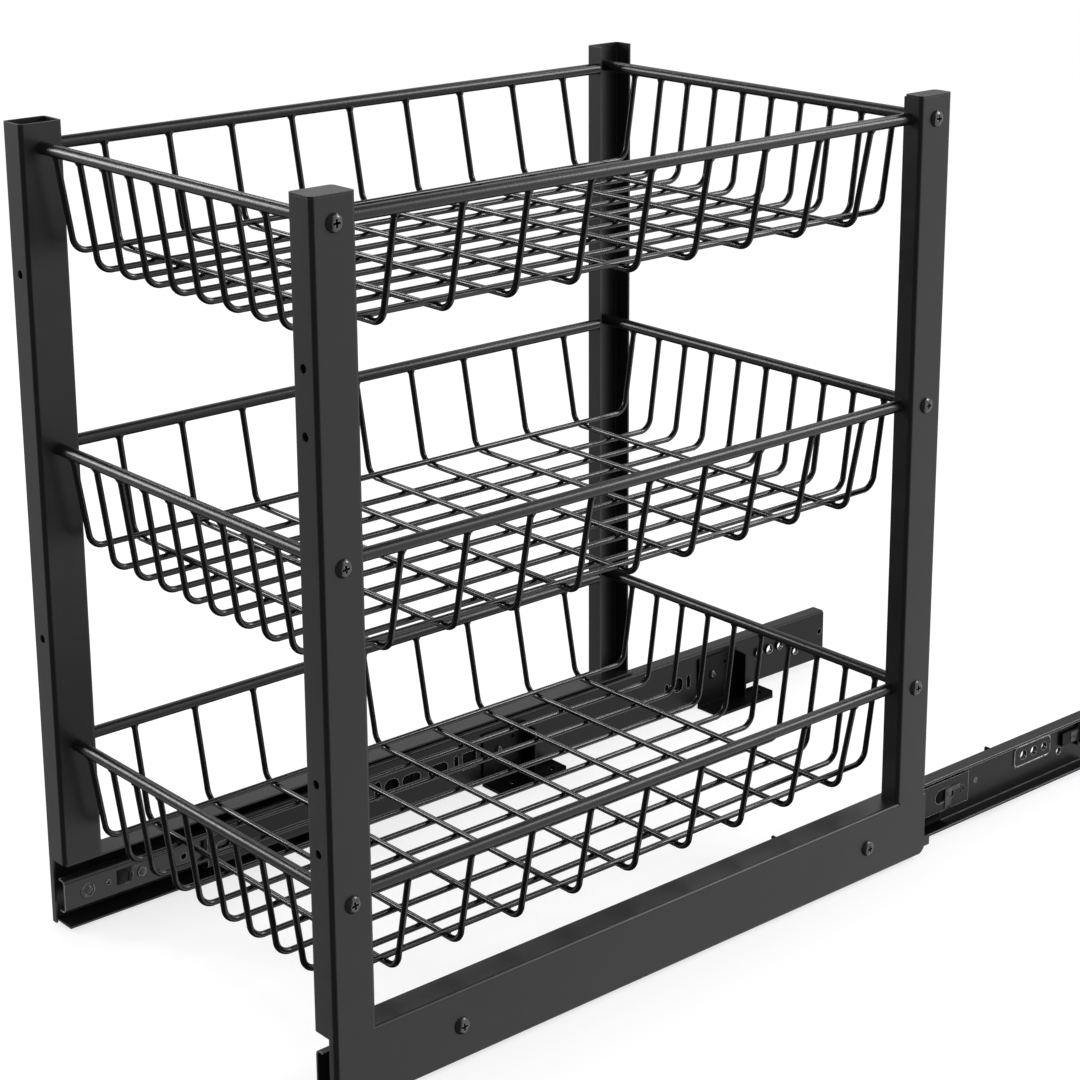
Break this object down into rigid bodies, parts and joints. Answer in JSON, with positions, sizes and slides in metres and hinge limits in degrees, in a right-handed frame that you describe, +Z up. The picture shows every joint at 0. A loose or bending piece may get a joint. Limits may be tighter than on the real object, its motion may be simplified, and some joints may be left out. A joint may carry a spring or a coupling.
{
  "type": "pull out cabinet basket",
  "caption": "Three-tier wire basket in a coated steel frame that rolls out of a cabinet on ball-bearing slides with floor brackets.",
  "frame": {"origin": "on the cabinet floor, midway between the two sides and midway along the whole unit as it stands pulled out", "axes": "+Z up, -Y the way the baskets pull out, +X to the right as seen from the front"},
  "size_m": [0.3506, 0.781, 0.583],
  "materials": {
    "frame_coating": "satin black powder coat",
    "wire_coating": "satin black powder coat on round wire",
    "slide_steel": "black electrophoretic coat, satin",
    "bracket_steel": "black coat, satin",
    "screw_steel": "black oxide, glossy",
    "ball_steel": "polished",
    "stop_plastic": "matte black"
  },
  "bodies": {
    "cabinet_slides": {"left_cabinet_member": "slide_steel", "right_cabinet_member": "slide_steel", "left_front_bracket": "bracket_steel", "left_rear_bracket": "bracket_steel", "right_front_bracket": "bracket_steel", "right_rear_bracket": "bracket_steel", "bracket_screws": "screw_steel", "left_rear_bumper": "stop_plastic", "right_rear_bumper": "stop_plastic"},
    "left_middle": {"left_intermediate_member": "slide_steel", "left_front_bumper": "stop_plastic"},
    "left_outer_race": {"left_outer_cage": "slide_steel", "left_outer_balls": "ball_steel"},
    "left_inner_race": {"left_inner_cage": "slide_steel", "left_inner_balls": "ball_steel"},
    "right_middle": {"right_intermediate_member": "slide_steel", "right_front_bumper": "stop_plastic"},
    "right_outer_race": {"right_outer_cage": "slide_steel", "right_outer_balls": "ball_steel"},
    "right_inner_race": {"right_inner_cage": "slide_steel", "right_inner_balls": "ball_steel"},
    "basket_carriage": {"left_drawer_member": "slide_steel", "right_drawer_member": "slide_steel", "slide_rivets": "screw_steel", "rail_spacers": "slide_steel", "rail_screws": "screw_steel", "left_bottom_rail": "frame_coating", "right_bottom_rail": "frame_coating", "left_front_post": "frame_coating", "right_front_post": "frame_coating", "left_rear_post": "frame_coating", "right_rear_post": "frame_coating", "right_front_post_cap": "frame_coating", "right_rear_post_cap": "frame_coating", "top_front_rod": "frame_coating", "top_rear_rod": "frame_coating", "top_left_rod": "frame_coating", "top_right_rod": "frame_coating", "top_crosswise_wires": "wire_coating", "top_lengthwise_wires": "wire_coating", "top_basket_screws": "screw_steel", "middle_front_rod": "frame_coating", "middle_rear_rod": "frame_coating", "middle_left_rod": "frame_coating", "middle_right_rod": "frame_coating", "middle_crosswise_wires": "wire_coating", "middle_lengthwise_wires": "wire_coating", "middle_basket_screws": "screw_steel", "bottom_front_rod": "frame_coating", "bottom_rear_rod": "frame_coating", "bottom_left_rod": "frame_coating", "bottom_right_rod": "frame_coating", "bottom_crosswise_wires": "wire_coating", "bottom_lengthwise_wires": "wire_coating", "bottom_basket_screws": "screw_steel"}
  },
  "joints": [
    {"name": "pull_out", "type": "slide", "parent": "cabinet_slides", "child": "basket_carriage", "axis": [0, -1, 0], "range_m": [-0.231, 0.319]},
    {"name": "left_middle_slide", "type": "slide", "parent": "cabinet_slides", "child": "left_middle", "axis": [0, -1, 0], "range_m": [-0.1165, 0.1605]},
    {"name": "left_outer_race_slide", "type": "slide", "parent": "cabinet_slides", "child": "left_outer_race", "axis": [0, -1, 0], "range_m": [-0.05875, 0.08075]},
    {"name": "left_inner_race_slide", "type": "slide", "parent": "cabinet_slides", "child": "left_inner_race", "axis": [0, -1, 0], "range_m": [-0.17425, 0.24025]},
    {"name": "right_middle_slide", "type": "slide", "parent": "cabinet_slides", "child": "right_middle", "axis": [0, -1, 0], "range_m": [-0.1165, 0.1605]},
    {"name": "right_outer_race_slide", "type": "slide", "parent": "cabinet_slides", "child": "right_outer_race", "axis": [0, -1, 0], "range_m": [-0.05875, 0.08075]},
    {"name": "right_inner_race_slide", "type": "slide", "parent": "cabinet_slides", "child": "right_inner_race", "axis": [0, -1, 0], "range_m": [-0.17425, 0.24025]}
  ],
  "couplings": [
    {"joint": "left_middle_slide", "follows": "pull_out", "ratio": 0.5},
    {"joint": "left_outer_race_slide", "follows": "pull_out", "ratio": 0.25},
    {"joint": "left_inner_race_slide", "follows": "pull_out", "ratio": 0.75},
    {"joint": "right_middle_slide", "follows": "pull_out", "ratio": 0.5},
    {"joint": "right_outer_race_slide", "follows": "pull_out", "ratio": 0.25},
    {"joint": "right_inner_race_slide", "follows": "pull_out", "ratio": 0.75}
  ]
}
